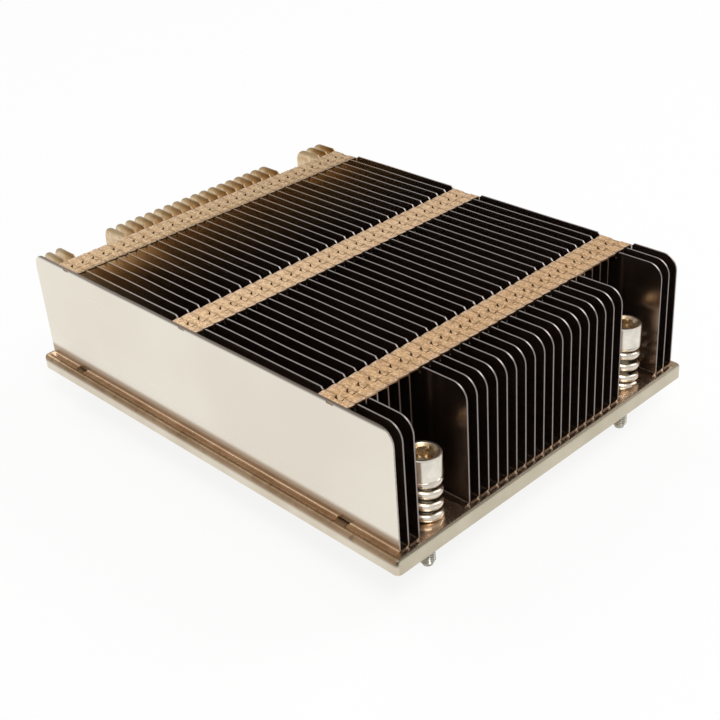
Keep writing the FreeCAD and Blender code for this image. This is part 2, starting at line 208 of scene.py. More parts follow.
class Finish:
    """A material under construction: one Principled shader and the nodes that feed it."""

    def __init__(self, name, metallic, roughness):
        self.material = bpy.data.materials.new(name)
        self.material.use_nodes = True
        self.tree = self.material.node_tree
        self.shader = self.tree.nodes["Principled BSDF"]
        self.shader.inputs["Metallic"].default_value = metallic
        self.shader.inputs["Roughness"].default_value = roughness
        self.place = self.add("ShaderNodeTexCoord", {}, {}, "Object")
        self.x, self.y, self.z = (self.add("ShaderNodeSeparateXYZ", {}, {0: self.place}, axis)
                                  for axis in "XYZ")

    def add(self, kind, settings, values, output=0):
        """Any node of this finish. A signal among the values becomes a link."""
        values = {key: value.socket if isinstance(value, Signal) else value
                  for key, value in values.items()}
        return Signal(self, new_node(self.tree, kind, settings, values).outputs[output])

    def grain(self, scale, detail=3.0, stretch=(1, 1, 1), seed=0.0):
        """Cloudy noise between 0 and 1 in the piece's own space. Stretch lengthens its grain."""
        spot = self.add("ShaderNodeMapping", {}, {"Vector": self.place, "Scale": stretch,
                                                  "Location": (seed, seed * 0.7, seed * 1.3)})
        return self.add("ShaderNodeTexNoise", {}, {"Vector": spot, "Scale": scale, "Detail": detail})

    def blend(self, factor, first, second):
        """Mix of two colours. The Mix node's colour sockets are 6 and 7, and their result is 2."""
        paint = [c if isinstance(c, Signal) else (*c, 1.0) for c in (first, second)]
        return self.add("ShaderNodeMix", {"data_type": "RGBA"},
                        {0: factor, 6: paint[0], 7: paint[1]}, 2)

    def feed(self, socket, signal):
        """Link a signal to one of the shader's sockets."""
        self.tree.links.new(signal.socket, self.shader.inputs[socket])

    def dent(self, height, distance, strength):
        """Bump from a height signal, in metres."""
        return self.add("ShaderNodeBump", {},
                        {"Height": height, "Distance": distance, "Strength": strength})

# %% [markdown]
# ## Measures taken from the frame
#
# The places of all pieces come from the CAD boxes. Only the sheet's own construction, such as its
# thickness and fold radius, is repeated here.

# %% Sheet, tabs and stack
SHEET = 0.3 * MM
FOOT_BEND = 0.35 * MM  # middle of the sheet in the foot's fold
TAB_BEND = 0.17 * MM
CORNER = 3.0 * MM
TAB_WIDTH = 7.2 * MM
TAB_DROP = 0.35 * MM  # the tabs lie this far under the blades' top edge
TAB_TAPER = 0.22 * MM
SLIT = 0.25 * MM
SLIT_DEPTH = 1.0 * MM
SLIT_EASE = 0.45 * MM  # sloped corner of the blade beside each slit
MIDDLE_SHIFT = 0.65 * MM  # the middle row isn't quite in the middle
LOCK_FRONT = 1.25 * MM
LOCK_REAR = 1.15 * MM
LOCK_SLANT = 0.9 * MM
LOCK_MOUTH = 0.21 * MM
LOCK_BACK = 0.75 * MM
TONGUE = (0.95 * MM, 0.85 * MM, 1.1 * MM, -0.3 * MM, 0.9 * MM)  # root front and rear, tip, reach
END_SLOT = 0.8 * MM
PLAY = 0.06 * MM
BEAD_WIDTH = 0.16 * MM
BEAD_DROP = 0.035 * MM
FLAT = SHEET / 2  # from a sheet's middle to its face

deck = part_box("base_plate")[1].z
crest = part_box("end_plate")[1].z
long_front, long_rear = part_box("fin_12")[0].y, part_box("fin_12")[1].y
short_front, short_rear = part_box("fin_04")[0].y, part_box("fin_04")[1].y
tab_rows = np.linspace(short_front + TAB_WIDTH / 2, short_rear - TAB_WIDTH / 2, 3)
tab_rows[1] += MIDDLE_SHIFT
fin_names = sorted(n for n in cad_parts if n.startswith("fin_"))
fin_at = {name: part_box(name)[1].x - SHEET / 2 for name in fin_names}
pitch = fin_at["fin_12"] - fin_at["fin_11"]
print(f"{len(fin_names)} fins, {pitch * 1000:.2f} mm apart, {(crest - deck) * 1000:.1f} mm high")

# %% [markdown]
# ## The folded sheets
#
# A real fin is stamped from strip: the press cuts its outline and slits, then folds the foot and
# the three tabs. A box with a bevel would look like a slab, so the fin is modelled the way it is
# made, as a sheet without thickness that is folded along a path and then thickened to 0.3 mm.
# Each free stretch of the blade bows by a few hundredths of a millimetre, as thin sheet does.

# %% Blade: corner arcs and bow
def corner_width(height, square):
    """Half-width left of the end arc at a height: the arc's circle equation, or the full radius."""
    above = np.clip(height - (crest - CORNER), 0, CORNER)
    return np.full_like(height, CORNER) if square else np.sqrt(CORNER ** 2 - above ** 2)


def bow(y, z, seed):
    """Sideways bow of a blade: two slow sine waves along it, growing with the square of height and
    fading to nothing at the tab rows, where the next sheet holds it."""
    chance = np.random.default_rng(seed)
    size = chance.normal(0, 0.05 * MM, 4)
    phase = chance.uniform(0, 2 * math.pi, 4)
    waves = size[0] * np.sin(y * 90 + phase[0]) + size[1] * np.sin(y * 210 + phase[1])
    free = np.min(np.abs(y[..., None] - tab_rows), axis=-1) - TAB_WIDTH / 2
    lift = np.clip((z - deck) / (crest - deck), 0, 1) ** 2
    return waves * lift * np.clip(free / (8 * MM), 0, 1)


def blade_grid(x, front, rear, stations, heights, square, seed):
    """Upright sheet: y runs over the stations, pulled in at both ends by the corner arc, z over the
    heights, and x is the sheet's place plus its bow."""
    z = heights[:, None] + 0 * stations[None, :]
    pull = CORNER - corner_width(z, square)
    near = np.clip((front + CORNER - stations) / CORNER, 0, 1)
    far = np.clip((stations - rear + CORNER) / CORNER, 0, 1)
    y = stations[None, :] + near * pull - far * pull
    return np.stack([x + bow(y, z, seed), y, z], axis=-1)


print(f"blades: corner arcs of {CORNER / MM:.1f} mm, tab rows at", np.round(tab_rows / MM, 2))

# %% Foot and its fold
FOLD_STEPS = np.linspace(0, math.pi / 2, 5)


def foot_grid(x, stations, reach):
    """Foot and its fold: out along the plate at half a sheet's height, then a quarter circle of the
    mid-fold radius up to the blade."""
    run_x = np.concatenate([[-reach], -FOOT_BEND + FOOT_BEND * np.sin(FOLD_STEPS)])
    run_z = np.concatenate([[FLAT], FLAT + FOOT_BEND * (1 - np.cos(FOLD_STEPS))])
    along, level = np.tile(stations, (len(run_x), 1)), 0 * stations
    return np.stack([x + run_x[:, None] + level, along, deck + run_z[:, None] + level], axis=-1)


print(f"feet: the sheet's middle turns at {FOOT_BEND / MM:.2f} mm")

# %% [markdown]
# ## Tabs that lock together
#
# Each tab is folded over towards the next sheet, and its tongue slips into that sheet's lock. On the
# real stack this holds the pitch before soldering. The lock is only a hole, so it needs no cutting
# tool here: the tab is a grid of five lanes, and the cells of the hole are left out.

# %% Tab formula
def lock_lanes(run, reach, tongue):
    """Front, middle and rear edge of the lock at a run along the tab. Its front is straight and its
    rear wall slants forward; past its back both close in on the root of the tab's own tongue."""
    slant = LOCK_REAR - LOCK_SLANT * (LOCK_MOUTH - run) / (LOCK_MOUTH + LOCK_BACK)
    beyond = np.clip((-run - LOCK_BACK) / (reach - LOCK_BACK), 0, 1)
    front = -LOCK_FRONT + (LOCK_FRONT - tongue[0]) * beyond
    closing = LOCK_REAR - LOCK_SLANT + (tongue[1] - LOCK_REAR + LOCK_SLANT) * beyond
    rear = np.where(beyond > 0, closing, slant)
    return front, (front + rear) / 2, rear


def tab_grids(x, centre, reach, tongue):
    """One tab: up from the slit's foot, a quarter circle over, and flat to its tapered tip. The
    lock is left open near the fold, where the next fin's tongue lies. The tongue is given by its
    front and rear edge at the root, the same at the tip, and how far it sticks out. A low bead of
    solder fills the seam to the next sheet on both sides of the tongue."""
    top = crest - TAB_DROP
    run_x = np.concatenate([[0], -TAB_BEND + TAB_BEND * np.cos(FOLD_STEPS), [-LOCK_BACK, -reach]])
    run_z = np.concatenate([[top - SLIT_DEPTH], top - FLAT - TAB_BEND + TAB_BEND * np.sin(FOLD_STEPS),
                            [top - FLAT] * 2])
    edge = TAB_WIDTH / 2 - TAB_TAPER * np.clip((-run_x - SHEET) / (reach - SHEET), 0, 1)
    lanes = np.stack([-edge, *lock_lanes(run_x, reach, tongue), edge], axis=-1)
    points = np.stack([x + run_x[:, None] + 0 * lanes, centre + lanes, run_z[:, None] + 0 * lanes],
                      axis=-1)
    rows = len(run_x)
    skip = np.zeros((rows - 1, 4), dtype=bool)
    skip[1:len(FOLD_STEPS) + 1, 1:3] = True
    root_front, root_rear, tip_front, tip_rear, tongue_reach = tongue
    lip_y = centre + np.array([[-root_front, (root_rear - root_front) / 2, root_rear],
                               [-tip_front, (tip_rear - tip_front) / 2, tip_rear]])
    lip_x = np.array([[-reach], [-reach - tongue_reach]]) + 0 * lip_y
    lip = np.stack([x + lip_x, lip_y, np.full_like(lip_y, top - FLAT)], axis=-1)
    beads = []
    for low_y, high_y in ((-edge[-1], -root_front), (root_rear, edge[-1])):
        y = centre + np.array([[low_y, high_y]] * 2)
        run = np.array([[-reach], [-reach - PLAY - BEAD_WIDTH]]) + 0 * y
        bead = np.stack([x + run, y, np.full_like(y, top - FLAT - BEAD_DROP)], axis=-1)
        beads.append((bead, grid_cells(2, 2)))
    return [(points, grid_cells(rows, 5, skip=skip)), (lip, grid_cells(2, 3)), *beads]


print(f"tabs: {TAB_WIDTH / MM:.1f} mm wide, {TAB_DROP / MM:.2f} mm under the top edge")

# %% [markdown]
# ## The whole sheet
#
# Foot, blade and tabs share their stations, so their edges fall on the same points and are welded.
# Where a slit, slot or dent is needed, a station is put at each of its edges.

# %% Rows and stations
SAME = 1e-6


def ordered(*parts):
    """All values in rising order, each once."""
    return np.unique(np.round(np.concatenate(parts), 9))


def spans(edges, step):
    """Stations between successive edges, no further apart than step."""
    counts = [max(2, int(math.ceil((b - a) / step)) + 1) for a, b in zip(edges, edges[1:])]
    return ordered(*[np.linspace(a, b, n) for a, b, n in zip(edges, edges[1:], counts)])


def sheet_heights(tabs):
    """Rows of the blade: even steps up to the corner arc and the arc's own sine steps above, with a
    row at the slits' foot and, in the end plate, at both edges of its slots."""
    slit_foot = crest - TAB_DROP - SLIT_DEPTH
    arc = crest - CORNER + CORNER * np.sin(np.linspace(0, math.pi / 2, 9))
    even = np.linspace(deck + FLAT + FOOT_BEND, crest - CORNER, 8)
    low = np.concatenate([even, arc[arc < slit_foot][1:], [slit_foot]])
    slot = [] if tabs else [crest - TAB_DROP - SHEET - PLAY, crest - TAB_DROP + PLAY]
    return low, ordered([slit_foot, crest - SLIT_EASE], arc[arc > slit_foot], slot), slot


def sheet_stations(front, rear, square, marks, foot_cuts):
    """Stations along the sheet: its ends and corner arcs, both edges of each slit, the lanes of each
    lock or slot, and the cuts in the foot."""
    half = TAB_WIDTH / 2
    starts = [front] if square else [front, front + CORNER]
    ends = [rear] if square else [rear - CORNER, rear]
    offsets = [-half - SLIT, -half, half, half + SLIT, *marks]
    inner = [centre + offset for centre in tab_rows for offset in offsets]
    inner = [place for place in inner if starts[-1] + SAME < place < ends[0] - SAME]
    stations = spans(sorted(starts + inner + list(foot_cuts) + ends), 5.0 * MM)
    if square:
        return stations
    corner_steps = np.linspace(0, CORNER, 6)
    return ordered(stations, front + corner_steps, rear - corner_steps)


print("rows of a fin's blade:", [len(rows) for rows in sheet_heights(True)[:2]])

# %% Folding a whole sheet
def folded_sheet(name, x, ends, reach, square, seed, finishes, foot=None, tongue=None, foot_cuts=()):
    """A whole fin: foot, blade below the slits, and above them the free stretches and the tabs. A
    sheet without a tongue is the end plate: it has slots in place of the tabs."""
    front, rear = ends
    tabs = tongue is not None
    half = TAB_WIDTH / 2
    marks = lock_lanes(np.zeros(1), reach, tongue) if tabs else (-END_SLOT, 0.0, END_SLOT)
    marks = [float(np.squeeze(mark)) for mark in marks]
    low, high, slot = sheet_heights(tabs)
    stations = sheet_stations(front, rear, square, marks, foot_cuts)
    middle = (stations[:-1] + stations[1:]) / 2

    feet = foot_grid(x, stations, reach if foot is None else foot)
    skip = np.zeros((feet.shape[0] - 1, len(middle)), dtype=bool)
    for a, b in zip(foot_cuts[::2], foot_cuts[1::2]):
        skip[:len(FOLD_STEPS) - 1, (middle > a) & (middle < b)] = True
    lower = blade_grid(x, front, rear, stations, low, square, seed)
    grids = [(feet, grid_cells(*feet.shape[:2], skip=skip)), (lower, grid_cells(*lower.shape[:2]))]

    upper = blade_grid(x, front, rear, stations, high, square, seed)
    away = np.min(np.abs(middle[:, None] - tab_rows), axis=1)
    taken = away < half + SLIT if tabs else np.zeros(len(middle), dtype=bool)
    skip = np.tile(taken, (len(high) - 1, 1))
    folded = []
    if tabs:
        lift = np.clip(high - (crest - SLIT_EASE), 0, SLIT_EASE)[:, None]
        for centre in tab_rows:
            for side in (-1, 1):
                at_slit = np.abs(stations - centre - side * (half + SLIT)) < SAME
                upper[:, at_slit, 1] += side * lift
            folded += tab_grids(x, centre, reach, tongue)
    else:
        level = (high[:-1] + high[1:]) / 2
        in_slot = (level > slot[0]) & (level < slot[1])
        skip[np.ix_(in_slot, away < END_SLOT)] = True
    grids += [(upper, grid_cells(*upper.shape[:2], skip=skip)), *folded]
    return thicken(make_piece(name, grids, weld=2 * SAME), SHEET, *finishes)


print("a sheet is one mesh of", 3 + 4 * len(tab_rows), "welded grids")

# %% [markdown]
# ## The finish of the sheets
#
# The sheets went through the soldering oven. Their faces are painted dark and warm as painted shade of
# the narrow gaps, so the gaps fall almost black. The tabs carry a tan film of flux, which also spreads
# over the rear of the stack, and the cut edges stay a little greyer than the faces.

# %% Places on the tabs
POOL_ORIGIN = 1.2 * MM
FLUX_POOLS = ((-0.5 * MM, 0.35 * MM, 0.5 * MM), (0.5 * MM, -0.9 * MM, 0.45 * MM))
REAR_FILM = (30 * MM, 34 * MM)
row_at = [float(centre) for centre in tab_rows]
first_x, last_x = float(fin_at[fin_names[1]]), float(fin_at[fin_names[-1]])
# Painted shade lies along the front of the rear row of tabs, from here back.
rear_row_shade_at = row_at[2] - TAB_WIDTH / 2 + 0.3 * MM


def tab_masks(look):
    """Where the tabs' flat tops are, and the strip along both of their edges that carries a painted
    highlight.
    """
    over = look.z.rises(crest - TAB_DROP - SLIT_DEPTH, crest - TAB_DROP - SHEET)
    tabs, edge = 0, 0
    for centre in row_at:
        away = abs(look.y - centre)
        inside = away.falls(TAB_WIDTH / 2 + 0.02 * MM, TAB_WIDTH / 2 + 0.12 * MM)
        tabs = tabs + inside
        edge = edge + away.rises(TAB_WIDTH / 2 - 1.1 * MM, TAB_WIDTH / 2 - 0.2 * MM) * inside
    return over * tabs, edge


def flux_pools(look):
    """Brown flux left in the seams, and in two round pools at each lock. A pool is the inside of a
    circle round its place, which is given past a fin and ahead of the row's middle."""
    across = (look.x - first_x + POOL_ORIGIN) % pitch
    seam = across.rises(1.05 * MM, 1.35 * MM) * across.falls(1.5 * MM, 1.85 * MM)
    pools = 0
    for centre in row_at:
        for past, ahead, radius in FLUX_POOLS:
            side = across - (past + POOL_ORIGIN)
            along = look.y - (centre + ahead)
            pools = pools + (side * side + along * along).falls((0.3 * radius) ** 2, radius ** 2)
    return seam, pools


print("flux pools at each lock:", len(FLUX_POOLS))

# %% Film of flux
def tab_film(look, edge):
    """Flux film: warm tan, paler in the middle row and browner at the rear, with a pinkish painted
    highlight along the tab's edges, brown blotches of about a millimetre and finer light and dark
    specks. It is darkest in the seams and pools, and painted shade darkens it along the front of the
    rear row."""
    blotch = look.grain(800, 3, seed=5)
    speck = look.grain(2300, 2, seed=8)
    middle = abs(look.y - row_at[1]).falls(TAB_WIDTH, TAB_WIDTH + 1 * MM)
    rear = look.y.rises(*REAR_FILM)
    film = look.blend(middle, (0.57, 0.365, 0.195), (0.62, 0.43, 0.255))
    film = look.blend(rear, film, (0.48, 0.335, 0.19))
    # Painted highlight: pinkish along both edges of each tab.
    film = look.blend(edge * 0.8, film, (0.52, 0.385, 0.28))
    # Painted shade along the front of the rear row.
    rear_row_shade = rear * look.y.falls(rear_row_shade_at, rear_row_shade_at + 1.3 * MM)
    film = look.blend(rear_row_shade * 0.8, film, (0.2, 0.125, 0.06))
    seam, pools = flux_pools(look)
    film = look.blend(seam * 0.45, film, (0.27, 0.16, 0.07))
    film = look.blend(pools * (0.75 - 0.3 * middle), film, (0.2, 0.11, 0.04))
    film = look.blend(blotch.falls(0.36, 0.5) * 0.4, film, (0.27, 0.13, 0.045))
    film = look.blend(speck.falls(0.36, 0.5) * 0.4, film, (0.26, 0.16, 0.08))
    return look.blend(speck.rises(0.52, 0.66) * 0.45, film, (0.86, 0.7, 0.5)), blotch, speck


# %% Fin faces and cut edges
def fin_metal():
    """Rolled sheet: dark faces with drawn grain along the air's path, the dark a painted shade of the
    narrow gaps and darkest near the foot, and the tan film on the tabs that spreads over the rear. It
    is thickest on the free rear ends, but not on the outer face."""
    look = Finish("fin_sheet_metal", 1.0, 0.3)
    drawn = look.grain(900, 4, (1, 0.04, 1))
    cloud = look.grain(60, 3, seed=2)
    # Painted shade: the faces are dark and warm, as the narrow gaps between the sheets would be.
    face = look.blend(cloud.rises(0.35, 0.7), (0.31, 0.23, 0.185), (0.36, 0.28, 0.23))
    rear = look.y.rises(8 * MM, 36 * MM) * look.z.rises(crest - 14 * MM, crest - 2 * MM)
    colour = look.blend(rear, face, (0.64, 0.49, 0.31))
    over, edge = tab_masks(look)
    film, blotch, speck = tab_film(look, edge)
    outside = look.x.rises(last_x + 0.05 * MM, last_x + 0.12 * MM)
    tail = look.y.rises(short_rear - 0.2 * MM, short_rear + 0.5 * MM) * (1 - outside)
    tail_tone = look.blend(blotch.rises(0.35, 0.65), (0.55, 0.39, 0.215), (0.72, 0.56, 0.37))
    tail_top = look.z.rises(crest - 1.5 * MM, crest - 0.4 * MM)
    tail_tone = look.blend(tail_top, tail_tone, (0.36, 0.25, 0.13))
    colour = look.blend(tail, colour, tail_tone)
    # Painted shade: near black along the foot, at the bottom of the gaps.
    feet = look.z.falls(deck + 0.25 * MM, deck + 0.5 * MM)
    colour = look.blend(feet, colour, (0.15, 0.115, 0.085))
    look.feed("Base Color", look.blend(over, colour, film))
    look.feed("Roughness", 0.2 + 0.1 * drawn + 0.3 * over)
    look.feed("Normal", look.dent(drawn + (2 * speck + 3 * blotch) * over, 0.00001, 0.5))
    return look.material


def cut_metal():
    """Cut edges: grey and dull, tan at the rear and film-brown round the tabs. Along the feet a painted
    highlight makes them bright at the fold, and painted shade makes them brown between one fin and the
    next."""
    look = Finish("fin_cut_edge", 1.0, 0.28)
    fine = look.grain(1800, 3, seed=15)
    colour = look.blend(look.y.rises(12 * MM, 34 * MM), (0.3, 0.265, 0.25), (0.31, 0.215, 0.135))
    tail = look.y.rises(short_rear + 0.2 * MM, short_rear + 0.6 * MM)
    colour = look.blend(tail, colour, (0.3, 0.205, 0.105))
    over, _ = tab_masks(look)
    tab_cut = over * look.z.falls(crest - 0.3 * MM, crest - 0.2 * MM)
    colour = look.blend(tab_cut, colour, (0.4, 0.255, 0.14))
    between = (look.x - first_x) % pitch
    # Along the feet: a painted highlight on the fold and painted shade between one fin and the next.
    foot = look.z.falls(deck + 0.33 * MM, deck + 0.45 * MM)
    fold = between.rises(pitch - 0.75 * MM, pitch - 0.45 * MM)
    colour = look.blend(foot, colour, look.blend(fold, (0.1, 0.07, 0.045), (0.5, 0.44, 0.4)))
    look.feed("Base Color", look.blend(fine.rises(0.3, 0.7) * 0.25, colour, (0.12, 0.1, 0.08)))
    look.feed("Roughness", 0.24 + 0.12 * fine)
    return look.material


sheet_finishes = (fin_metal(), cut_metal())
print("sheet finishes:", [finish.name for finish in sheet_finishes])

# %% Build the fins
HALF_FEET = ("fin_07", "fin_29")
SHORTER = 5 * MM  # a fin that starts this far behind the longest is a short one
FIRST_SEED = 100
end_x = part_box("end_plate")[1].x - FLAT
for count, name in enumerate(fin_names):
    low_corner, high_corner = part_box(name)
    short = low_corner.y > long_front + SHORTER
    reach = (pitch if count else fin_at[name] - end_x) - FLAT - PLAY
    tongue = TONGUE if count else (*[END_SLOT - PLAY] * 4, SHEET)
    fin = folded_sheet(f"{name}_sheet", fin_at[name], (low_corner.y, high_corner.y), reach, short,
                       FIRST_SEED + count, sheet_finishes,
                       foot=pitch / 2 if name in HALF_FEET else None, tongue=tongue)
    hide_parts(name)
    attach(fin, "heatsink")
print("fins built:", len(fin_names))

# %% [markdown]
# ## The end plate
#
# The outer sheet shows its whole face, so its finish carries the left side of the object: a pale,
# slightly warm mirror with drawn lines too fine to see one by one.

# %% End plate metal
def end_metal():
    """Pale rolled face, brown on the foot and in its fold, with a brown band above the fold that is a
    painted reflection of the ledge, a painted highlight along the fold, and darker towards its top
    edge.
    """
    look = Finish("end_plate_metal", 1.0, 0.3)
    z = look.z
    drawn = look.grain(700, 5, (1, 0.03, 1), seed=3)
    cloud = look.grain(35, 2, seed=9)
    stain = look.grain(420, 4, (1, 0.5, 1), seed=12)
    tone = look.blend(cloud.rises(0.3, 0.7), (0.79, 0.73, 0.63), (0.84, 0.79, 0.685))
    foot = look.blend(stain.rises(0.3, 0.7), (0.47, 0.295, 0.165), (0.66, 0.455, 0.295))
    # Painted reflection: a brown band low on the face, where the mirror would show the brown ledge.
    ledge_reflection = z.rises(deck + 0.35 * MM, deck + 0.7 * MM) * z.falls(deck + 1.9 * MM, deck + 3.1 * MM)
    tone = look.blend(ledge_reflection, tone, (0.43, 0.325, 0.23))
    tone = look.blend(z.falls(deck + 0.3 * MM, deck + 0.55 * MM), tone, foot)
    # Painted highlight along the foot's fold.
    glint = z.rises(deck + 0.3 * MM, deck + 0.4 * MM) * z.falls(deck + 0.42 * MM, deck + 0.56 * MM)
    tone = look.blend(glint * stain.rises(0.3, 0.6), tone, (0.5, 0.38, 0.27))
    tone = look.blend(z.rises(crest - 0.75 * MM, crest - 0.15 * MM), tone, (0.2, 0.165, 0.14))
    look.feed("Base Color", tone)
    look.feed("Roughness", 0.17 + 0.1 * drawn + 0.08 * z.rises(deck, deck + 8 * MM))
    look.feed("Normal", look.dent(drawn + 3 * cloud, 0.00001, 0.3))
    return look.material


def end_cut():
    """Its cut edge: dark along the top, lighter down the front, and painted light in a pale tan along
    the foot.
    """
    look = Finish("end_plate_cut_edge", 1.0, 0.3)
    fine = look.grain(1800, 3, seed=16)
    top = look.z.rises(crest - 1.5 * MM, crest - 0.3 * MM)
    colour = look.blend(top, (0.5, 0.44, 0.4), (0.13, 0.105, 0.085))
    # Painted light: a pale tan on the cut edge of the foot.
    foot = look.z.falls(deck + 0.3 * MM, deck + 0.4 * MM)
    colour = look.blend(foot, colour, (0.66, 0.48, 0.32))
    look.feed("Base Color", look.blend(fine.rises(0.3, 0.7) * 0.3, colour, (0.1, 0.08, 0.06)))
    look.feed("Roughness", 0.25 + 0.12 * fine + 0.2 * foot)
    return look.material


# %% Fold the end plate
END_FOOT = 1.2 * MM
FOOT_DENTS = (-39.6 * MM, -36.6 * MM, 38.6 * MM, 41.4 * MM)
END_SEED = 77
end_plate = folded_sheet("end_plate_sheet", end_x, (long_front, long_rear), END_FOOT, False, END_SEED,
                         (end_metal(), end_cut()), foot_cuts=FOOT_DENTS)
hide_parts("end_plate")
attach(end_plate, "heatsink")
print("end plate folded, with", len(FOOT_DENTS) // 2, "dents in its foot")

# %% [markdown]
# ## The base plate
#
# The plate keeps its CAD shape. Its upper face is brown. The front and rear sides are pale up to the
# rounded edge, a painted reflection of the lamps, with painted shade along the lip above; on the long
# sides a painted reflection of brown surroundings runs the brown over the edge and fades on the way
# down.

# %% Base metal
cad_x, cad_y = float(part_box("base_plate")[1].x), float(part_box("base_plate")[1].y)


def base_metal():
    """Brown on top, with painted shade darkest along the front and rear lip, and pale on the four
    sides. Painted reflection sets the border: pale up to the edge on the front and rear, brown down the
    long sides. The border on the sides wanders with the clouds in the brown."""
    look = Finish("base_plate_metal", 1.0, 0.35)
    cloud = look.grain(160, 4, seed=4)
    spot = look.grain(700, 3, seed=14)
    fine = look.grain(1500, 3, (1, 0.2, 1), seed=6)
    along, across = abs(look.y), abs(look.x)
    # Painted reflection of the lamps: front and rear are pale up to the edge.
    ends = along.rises(cad_y - 0.26 * MM, cad_y - 0.06 * MM)
    # Painted shade along the front and rear lip, darkest at its rim.
    lip = along.rises(cad_y - 0.75 * MM, cad_y - 0.4 * MM)
    lip_shade = along.rises(cad_y - 0.6 * MM, cad_y - 0.45 * MM)
    sides = across.rises(cad_x - 2.7 * MM, cad_x - 2.2 * MM)
    # Painted reflection of brown surroundings: on the long sides the brown runs down below the deck.
    top = (look.z + 0.25 * MM * cloud).rises(deck - 1.5 * MM, deck - 0.55 * MM) * (1 - ends)
    brown = look.blend(cloud.rises(0.3, 0.7), (0.5, 0.37, 0.27), (0.62, 0.48, 0.36))
    outer = look.blend(cloud.rises(0.3, 0.7), (0.25, 0.16, 0.088), (0.35, 0.24, 0.148))
    outer = look.blend(spot.rises(0.55, 0.75) * 0.6, outer, (0.12, 0.075, 0.04))
    brown = look.blend(sides, brown, outer)
    brown = look.blend(lip, brown, (0.2, 0.165, 0.12))
    brown = look.blend(lip_shade, brown, (0.11, 0.09, 0.065))
    end_tone = look.blend(cloud.rises(0.3, 0.75), (0.53, 0.475, 0.36), (0.6, 0.545, 0.42))
    side_tone = look.blend(cloud.rises(0.3, 0.75), (0.66, 0.58, 0.46), (0.74, 0.67, 0.55))
    pale = look.blend(ends, side_tone, end_tone)
    look.feed("Base Color", look.blend(top, pale, brown))
    look.feed("Roughness", 0.18 + 0.16 * fine + 0.04 * (1 - top) + 0.12 * sides * top)
    look.feed("Normal", look.dent(fine + 2 * cloud, 0.00002, 0.4))
    return look.material


def dress(node, finish):
    """Give a CAD node that keeps its shape its finish."""
    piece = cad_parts[node]
    piece.data.materials.clear()
    piece.data.materials.append(finish)


dress("base_plate", base_metal())
print(f"base plate dressed, {2 * cad_x / MM:.0f} x {2 * cad_y / MM:.0f} mm")

# %% [markdown]
# ## The springs
#
# A compression spring is a wire wound on a mandrel, with its end coils closed and ground flat. The
# wire is a circle carried along a helix whose pitch is small at the ends, and everything below or
# above the ground planes is pressed flat.

# %% Spring formula
COIL_TURNS = (-0.2, 0.55, 0.85, 3.0, 3.35, 4.2)
COIL_PITCH = (1.65, 1.65, 2.45, 2.45, 1.65, 1.65)
WIRE_RADIUS = 0.8 * MM
COIL_RADIUS = 2.5 * MM
FIRST_UNDER = 0.43 * MM  # how far the wire's middle starts below the lower ground plane
LAST_OVER = 0.41 * MM
COIL_STEPS, WIRE_SIDES = 200, 20
WIRE_END = 0.02  # turns over which the wire's end closes


def spring_points(centre, low, high, start):
    """Circle of the wire carried along a helix. Height is the integral of the pitch over the turns:
    about one wire in the end coils and open between them. The first and last turn run into the
    ground planes, so that part of the wire is flattened there."""
    travel = np.linspace(COIL_TURNS[0], COIL_TURNS[-1], COIL_STEPS)
    pace = np.interp(travel, COIL_TURNS, COIL_PITCH)
    rise = np.concatenate([[0], np.cumsum((pace[1:] + pace[:-1]) / 2)])
    first, last = low - FIRST_UNDER, high + LAST_OVER
    height = first + rise / rise[-1] * (last - first)
    angle = start - 2 * math.pi * travel
    out = np.stack([np.cos(angle), np.sin(angle), 0 * angle], axis=-1)
    spine = np.stack([COIL_RADIUS * np.cos(angle), COIL_RADIUS * np.sin(angle), height], axis=-1)
    ring = np.linspace(0, 2 * math.pi, WIRE_SIDES, endpoint=False)[None, :, None]
    taper = np.clip(np.minimum(travel - travel[0], travel[-1] - travel) / WIRE_END, 0, 1)[:, None, None]
    section = np.cos(ring) * out[:, None, :] + np.sin(ring) * np.array([0, 0, 1.0])
    points = spine[:, None, :] + WIRE_RADIUS * taper * section
    points[..., 2] = np.clip(points[..., 2], low, high)
    return points + np.array([centre[0], centre[1], 0.0])


turns = COIL_TURNS[-1] - COIL_TURNS[0]
print(f"springs: {turns:.1f} turns of {2 * WIRE_RADIUS / MM:.1f} mm wire, left-handed")

# %% Nickel plate
DISH_EDGE = (2.45 * MM, 2.75 * MM)


def dish_mask(look):
    """1 in the dish of a screw's head: near one of the four axes and close under the crown."""
    low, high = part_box("screw_front_right")
    across = abs(look.x) - float(low.x + high.x) / 2
    along = abs(look.y) + float(low.y + high.y) / 2
    near = (across * across + along * along).falls(DISH_EDGE[0] ** 2, DISH_EDGE[1] ** 2)
    return near * look.z.rises(float(high.z) - 4.2 * MM, float(high.z) - 4.0 * MM)


def bright_nickel(name, tint, rough, screw=False):
    """Nickel plate: a clean bright metal with faint wear and drawing marks. In a screw's dish an olive
    brown is painted in as a painted reflection, and the threaded end under the base is painted darker
    as painted shade."""
    look = Finish(name, 1.0, rough)
    cloud = look.grain(500, 3, seed=7)
    colour = look.blend(cloud.rises(0.3, 0.75), tuple(c * 0.82 for c in tint), tint)
    inside = 0
    if screw:
        inside = dish_mask(look)
        # Painted reflection: olive brown in the dish.
        olive = look.blend(cloud.rises(0.35, 0.65), (0.4, 0.27, 0.15), (0.62, 0.52, 0.34))
        dull = look.blend(cloud.rises(0.3, 0.7), (0.3, 0.29, 0.25), (0.5, 0.48, 0.41))
        colour = look.blend(inside, colour, olive)
        # Painted shade: darker on the threaded end under the base.
        colour = look.blend(look.z.falls(-0.5 * MM, 0.0), colour, dull)
    look.feed("Base Color", colour)
    look.feed("Roughness", rough + 0.12 * cloud + 0.14 * inside)
    look.feed("Normal", look.dent(cloud, 0.00001, 0.4))
    return look.material


